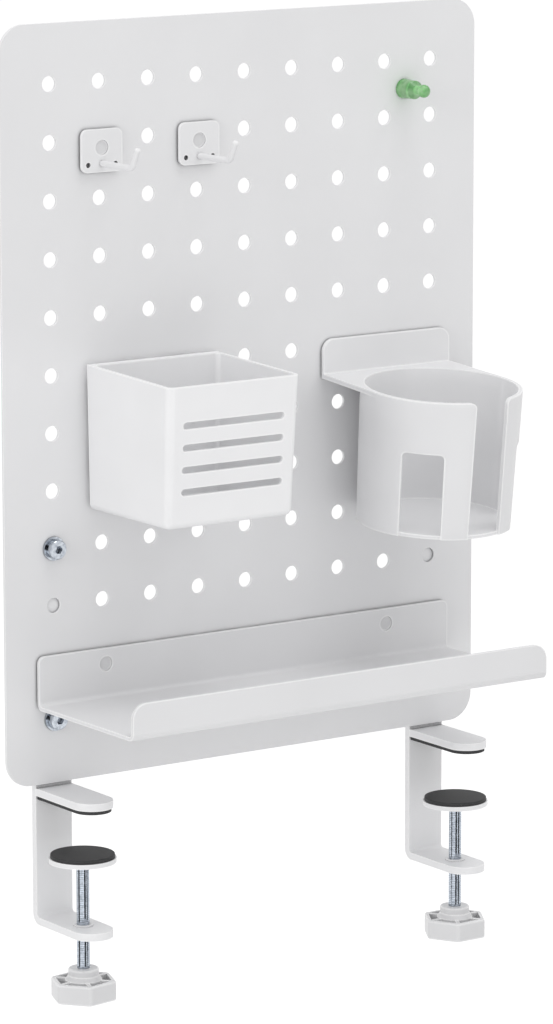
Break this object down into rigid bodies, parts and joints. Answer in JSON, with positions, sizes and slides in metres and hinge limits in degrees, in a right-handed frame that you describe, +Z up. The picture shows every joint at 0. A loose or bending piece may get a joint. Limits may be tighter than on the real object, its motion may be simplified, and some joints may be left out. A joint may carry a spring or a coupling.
{
  "type": "clamp-on pegboard desk organizer",
  "caption": "Perforated steel board on two screw clamps, with a tool shelf, pen bin, cup holder, wire hooks and a magnetic pin, all on push-in plugs.",
  "frame": {"origin": "on the desk edge midway between the clamps: the desk top lies at Z = 0 under the jaw pads and the desk edge stands at Y = 0 against the clamp plates, in the plane of the board's back", "axes": "+Z up, +X to the right as seen from the front, the board faces -Y"},
  "size_m": [0.299, 0.1065, 0.5081],
  "materials": {
    "board_paint": "smooth matt white powder coat",
    "clamp_paint": "white powder coat",
    "shelf_paint": "white powder coat",
    "hook_paint": "white powder coat",
    "pad_rubber": "black rubber, matt",
    "zinc": "bright zinc plating, bluish",
    "knob_plastic": "white moulded plastic, satin",
    "bin_plastic": "white moulded plastic, fine matt",
    "cup_plastic": "white moulded plastic, fine matt",
    "plug_plastic": "white moulded plastic",
    "pin_plastic": "translucent green plastic, glossy",
    "magnet": "nickel plating"
  },
  "bodies": {
    "frame": {"peg_panel": "board_paint", "left_clamp_bracket": "clamp_paint", "left_upper_jaw": "clamp_paint", "left_jaw_pad": "pad_rubber", "left_thread_bush": "clamp_paint", "right_clamp_bracket": "clamp_paint", "right_upper_jaw": "clamp_paint", "right_jaw_pad": "pad_rubber", "right_thread_bush": "clamp_paint", "panel_bolts": "zinc", "panel_washers": "zinc", "panel_nuts": "zinc"},
    "left_foot": {"left_foot_disc": "clamp_paint", "left_foot_pad": "pad_rubber"},
    "left_screw": {"left_clamp_screw": "zinc", "left_clamp_knob": "knob_plastic"},
    "right_foot": {"right_foot_disc": "clamp_paint", "right_foot_pad": "pad_rubber"},
    "right_screw": {"right_clamp_screw": "zinc", "right_clamp_knob": "knob_plastic"},
    "shelf": {"tool_shelf": "shelf_paint", "shelf_plugs": "plug_plastic"},
    "bin": {"pen_bin": "bin_plastic", "bin_plugs": "plug_plastic"},
    "cup": {"cup_holder": "cup_plastic", "cup_plugs": "plug_plastic"},
    "left_hook": {"left_hook_plate": "hook_paint", "left_hook_wire": "hook_paint", "left_hook_plug": "plug_plastic"},
    "right_hook": {"right_hook_plate": "hook_paint", "right_hook_wire": "hook_paint", "right_hook_plug": "plug_plastic"},
    "pin": {"pin_grip": "pin_plastic", "pin_magnet": "magnet"}
  },
  "joints": [
    {"name": "left_foot_lift", "type": "slide", "parent": "frame", "child": "left_foot", "axis": [0, 0, 1], "range_m": [-0.031, 0.0182]},
    {"name": "left_screw_turn", "type": "hinge", "parent": "left_foot", "child": "left_screw", "pos_m": [-0.12, -0.0275, -0.0245], "axis": [0, 0, 1], "range_deg": [-11232, 6624]},
    {"name": "right_foot_lift", "type": "slide", "parent": "frame", "child": "right_foot", "axis": [0, 0, 1], "range_m": [-0.028, 0.0212]},
    {"name": "right_screw_turn", "type": "hinge", "parent": "right_foot", "child": "right_screw", "pos_m": [0.12, -0.0275, -0.0275], "axis": [0, 0, 1], "range_deg": [-10152, 7704]},
    {"name": "shelf_pull", "type": "slide", "parent": "frame", "child": "shelf", "axis": [0, -1, 0], "range_m": [0, 0.012]},
    {"name": "bin_pull", "type": "slide", "parent": "frame", "child": "bin", "axis": [0, -1, 0], "range_m": [0, 0.012]},
    {"name": "cup_pull", "type": "slide", "parent": "frame", "child": "cup", "axis": [0, -1, 0], "range_m": [0, 0.012]},
    {"name": "left_hook_pull", "type": "slide", "parent": "frame", "child": "left_hook", "axis": [0, -1, 0], "range_m": [0, 0.012]},
    {"name": "right_hook_pull", "type": "slide", "parent": "frame", "child": "right_hook", "axis": [0, -1, 0], "range_m": [0, 0.012]},
    {"name": "pin_pull", "type": "slide", "parent": "frame", "child": "pin", "axis": [0, -1, 0], "range_m": [0, 0.012]}
  ],
  "couplings": [
    {"joint": "left_screw_turn", "follows": "left_foot_lift", "rad_per_m": 6283.2},
    {"joint": "right_screw_turn", "follows": "right_foot_lift", "rad_per_m": 6283.2}
  ]
}
